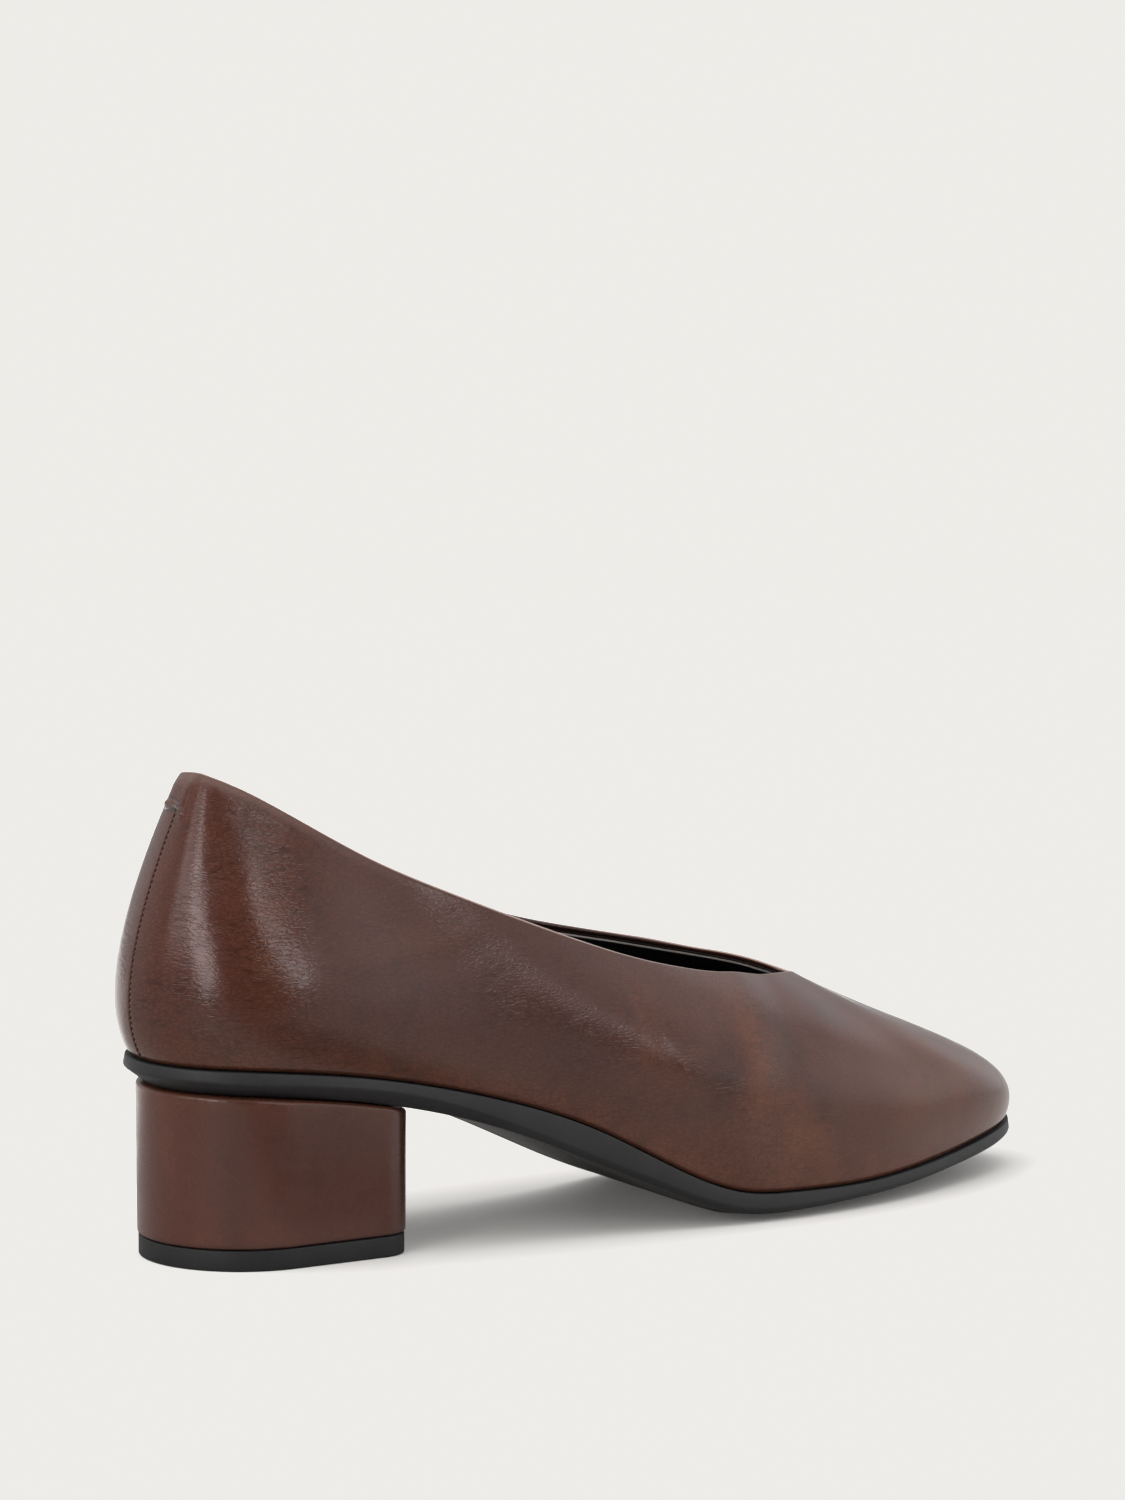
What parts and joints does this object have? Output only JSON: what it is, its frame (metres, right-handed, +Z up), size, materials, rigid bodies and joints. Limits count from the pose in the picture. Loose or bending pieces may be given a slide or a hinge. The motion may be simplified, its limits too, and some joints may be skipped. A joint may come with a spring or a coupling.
{
  "type": "block heel pump",
  "caption": "Closed leather pump with a rounded almond toe, V shaped throat, leather covered block heel and rubber sole: a right shoe, hollow and open at the collar.",
  "frame": {"origin": "on the floor, under the middle of the shoe's box", "axes": "+X to the toe, +Y to the inner (medial) side, +Z up"},
  "size_m": [0.2492, 0.0784, 0.1156],
  "materials": {
    "upper_leather": "burnished dark brown, fine grain, satin gloss",
    "sock_leather": "smooth, almost black",
    "sole_rubber": "matte dark grey",
    "heel_leather": "burnished dark brown, fine grain, satin gloss",
    "lift_rubber": "matte black"
  },
  "bodies": {
    "root": {"upper": "upper_leather", "insole": "sock_leather", "outsole": "sole_rubber", "heel": "heel_leather", "top_lift": "lift_rubber"}
  },
  "joints": []
}
